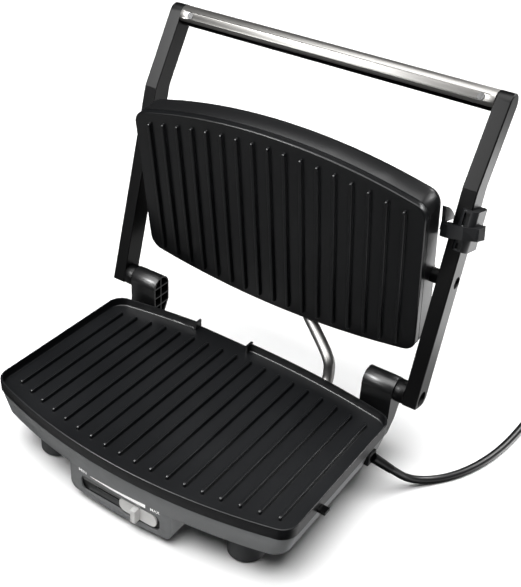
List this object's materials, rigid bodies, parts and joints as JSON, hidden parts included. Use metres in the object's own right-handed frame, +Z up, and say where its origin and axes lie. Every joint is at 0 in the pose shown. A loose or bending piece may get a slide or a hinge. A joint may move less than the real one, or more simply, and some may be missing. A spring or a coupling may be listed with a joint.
{
  "type": "panini press",
  "caption": "Electric contact grill with ribbed plates, a lid hung between two cranked arms, a bar handle, round feet and a mains cord.",
  "frame": {"origin": "floor level under the middle of the press, cord left out", "axes": "+X to the right of a person at the front, +Y to the back, +Z up"},
  "size_m": [0.4891, 0.3871, 0.3223],
  "materials": {
    "plate": "non-stick coated cast aluminium, satin black",
    "shell": "satin grey paint",
    "grey_plastic": "dark grey moulded plastic",
    "black_plastic": "black moulded plastic, satin",
    "black_gloss": "black moulded plastic, semi-gloss",
    "rubber": "black rubber",
    "steel": "brushed stainless steel",
    "chrome": "bright plated screw",
    "silver_plastic": "silver-grey moulded plastic",
    "lid": "satin dark grey paint",
    "tin": "bright sheet",
    "heater": "steel sheathed tube heater",
    "brass": "nickel-plated brass pin",
    "cord": "black PVC cord"
  },
  "bodies": {
    "base": {"lower_grill_plate": "plate", "base_shell": "shell", "bottom_cover": "grey_plastic", "front_foot_left": "grey_plastic", "front_foot_right": "grey_plastic", "rear_foot_left": "grey_plastic", "rear_foot_right": "grey_plastic", "front_pad_left": "rubber", "front_pad_right": "rubber", "rear_pad_left": "rubber", "rear_pad_right": "rubber", "slider_track": "grey_plastic", "thermostat": "tin", "thermostat_arm": "tin", "lower_heater": "heater", "lower_reflector": "tin", "terminal_block": "grey_plastic", "hinge_post_left": "black_plastic", "hinge_post_right": "black_plastic", "hinge_pin_left": "steel", "hinge_pin_right": "steel", "side_catch": "black_gloss", "conduit_lower": "steel", "cord_grip": "black_plastic", "cord_boot": "black_plastic", "cord_run": "cord", "cord_coil": "cord", "cord_tail": "cord", "plug_body": "black_plastic", "plug_pin_left": "brass", "plug_pin_right": "brass"},
    "handle_frame": {"arm_left": "black_plastic", "arm_right": "black_plastic", "hinge_knuckle_left": "black_plastic", "hinge_knuckle_right": "black_plastic", "hinge_cap_left": "black_gloss", "hinge_cap_right": "black_gloss", "pivot_cap_left": "black_gloss", "pivot_cap_right": "black_gloss", "pivot_pin_left": "black_plastic", "pivot_pin_right": "black_plastic", "handle_tube": "steel", "handle_core": "black_gloss", "handle_screw_left": "chrome", "handle_screw_right": "chrome", "conduit_upper": "steel"},
    "lid": {"upper_grill_plate": "plate", "lid_housing": "lid", "upper_heater": "heater", "upper_reflector": "tin"},
    "height_slide_body": {"height_slider": "grey_plastic"},
    "knob_body": {"temperature_knob": "silver_plastic"}
  },
  "joints": [
    {"name": "lid_hinge", "type": "hinge", "parent": "base", "child": "handle_frame", "pos_m": [-0.0069, 0.0533, 0.0801], "axis": [1, 0, 0], "range_deg": [0, 103.2], "deforming": ["conduit_lower"]},
    {"name": "lid_level", "type": "hinge", "parent": "handle_frame", "child": "lid", "pos_m": [-0.0069, 0.08553, 0.17879], "axis": [1, 0, 0], "range_deg": [-22.13, 0], "deforming": ["conduit_upper"]},
    {"name": "height_slide", "type": "slide", "parent": "handle_frame", "child": "height_slide_body", "axis": [0, 0.276, 0.9612], "range_m": [-0.018, 0.005]},
    {"name": "temperature_slide", "type": "slide", "parent": "base", "child": "knob_body", "axis": [1, 0, 0], "range_m": [-0.0388, 0.0018]}
  ],
  "couplings": [
    {"joint": "lid_level", "follows": "lid_hinge", "ratio": -0.21434}
  ]
}
